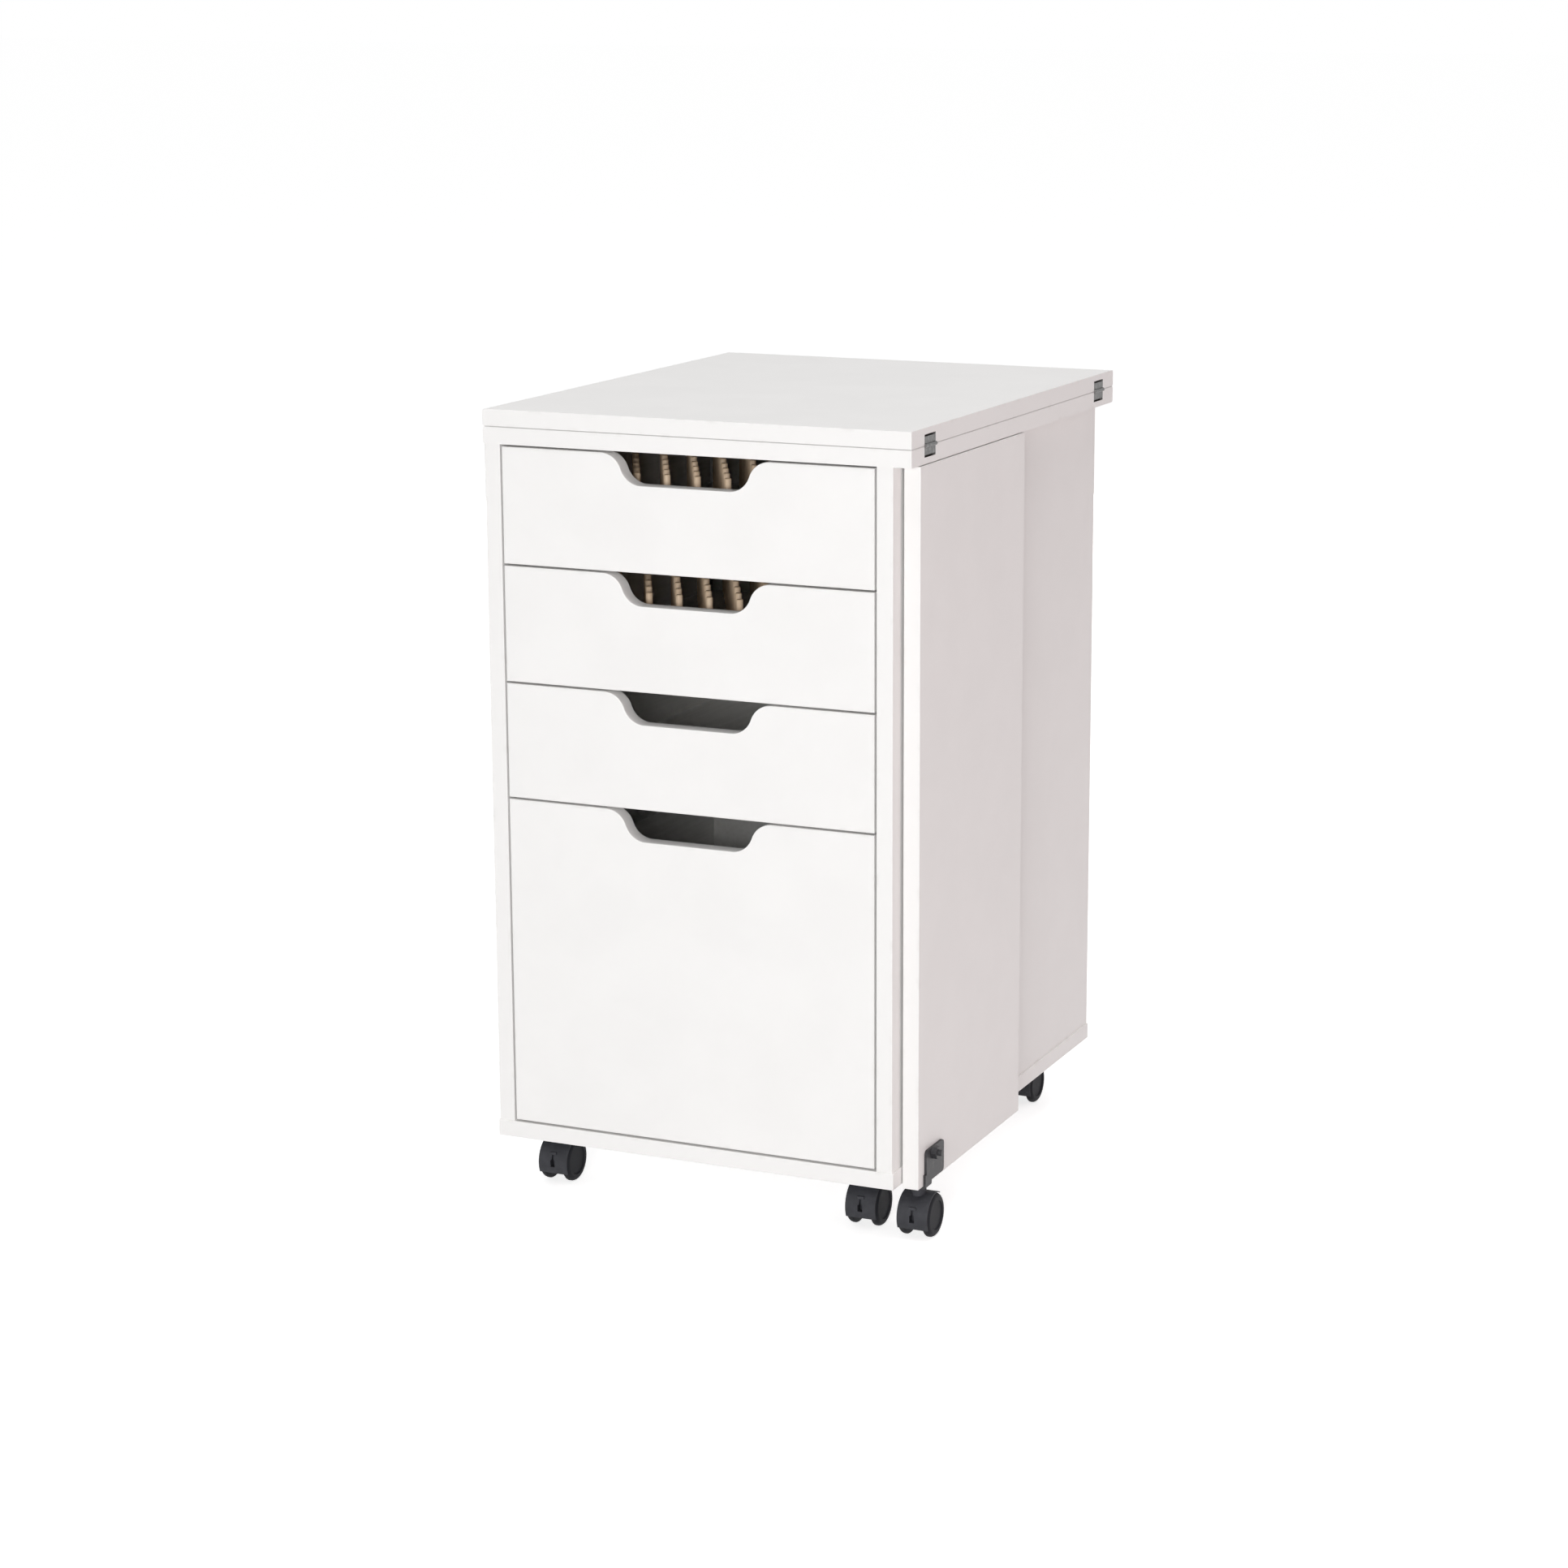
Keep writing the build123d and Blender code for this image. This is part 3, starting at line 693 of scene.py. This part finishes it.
# %% World
sky_grey = rgb(0.37, 0.37, 0.37)
sky_white = rgb(1, 1, 1)
world = bpy.data.worlds.new("studio_world")
bpy.context.scene.world = world
world.use_nodes = True
world_tree = world.node_tree
plain_sky = world_tree.nodes["Background"]
plain_sky.inputs["Color"].default_value = sky_grey
plain = Wire(plain_sky.outputs[0])
white = Wire.node(world_tree, "ShaderNodeBackground", None, {"Color": sky_white, "Strength": 1.0})
sky = Wire.node(world_tree, "ShaderNodeMixShader", None, {0: seen_directly(world_tree), 1: plain, 2: white})
world_tree.links.new(sky.socket, world_tree.nodes["World Output"].inputs["Surface"])
print("ambient level:", sky_grey[0])

# %% [markdown]
# ## Softboxes
#
# Large lamps give the even light of a studio, where a small one would draw hard shadows. A low softbox far
# in front makes the drawer fronts the brightest faces and reaches into the handle cut-outs. One overhead
# lifts the top. A weak reddish one warms the right side, which stays the darkest, and is kept out of
# reflections so that it leaves no pink on the top. A last one stands low behind and to the left, below the
# level of the top so that it adds no glare there, and keeps the back and the left side from going grey when
# the table is turned.

# %% Softboxes
aim = Vector((0.0, 0.0, 0.4))
neutral = (1, 1, 1)
reddish = (1, 0.2, 0.2)
softboxes = {
    "front_softbox": {"spot": (1.36, -4.71, 1.2), "size": (1.4, 1.0), "watts": 110.0},
    "overhead_softbox": {"spot": (0.3, -0.6, 4.7), "size": (2.5, 2.5), "watts": 67.0},
    "right_softbox": {
        "spot": (4.0, -0.2, 1.2), "size": (1.8, 1.8), "watts": 9.0, "colour": reddish, "shine": False,
    },
    "rear_softbox": {"spot": (-2.0, 4.0, 0.42), "size": (2.4, 0.6), "watts": 58.0},
}


def softbox(name, spot, size, watts, colour=neutral, shine=True):
    """Rectangular lamp at a spot, turned to the middle of the table; without shine, no gloss mirrors it."""
    lamp = bpy.data.lights.new(name, "AREA")
    lamp.shape = "RECTANGLE"
    lamp.size, lamp.size_y = size
    lamp.energy = watts
    lamp.color = colour
    stand = bpy.data.objects.new(name, lamp)
    stand.location = spot
    stand.visible_glossy = shine
    stand.rotation_euler = (aim - Vector(spot)).to_track_quat("-Z", "Y").to_euler()
    bpy.context.scene.collection.objects.link(stand)


for name, facts in softboxes.items():
    softbox(name, **facts)
print("softboxes:", list(softboxes))
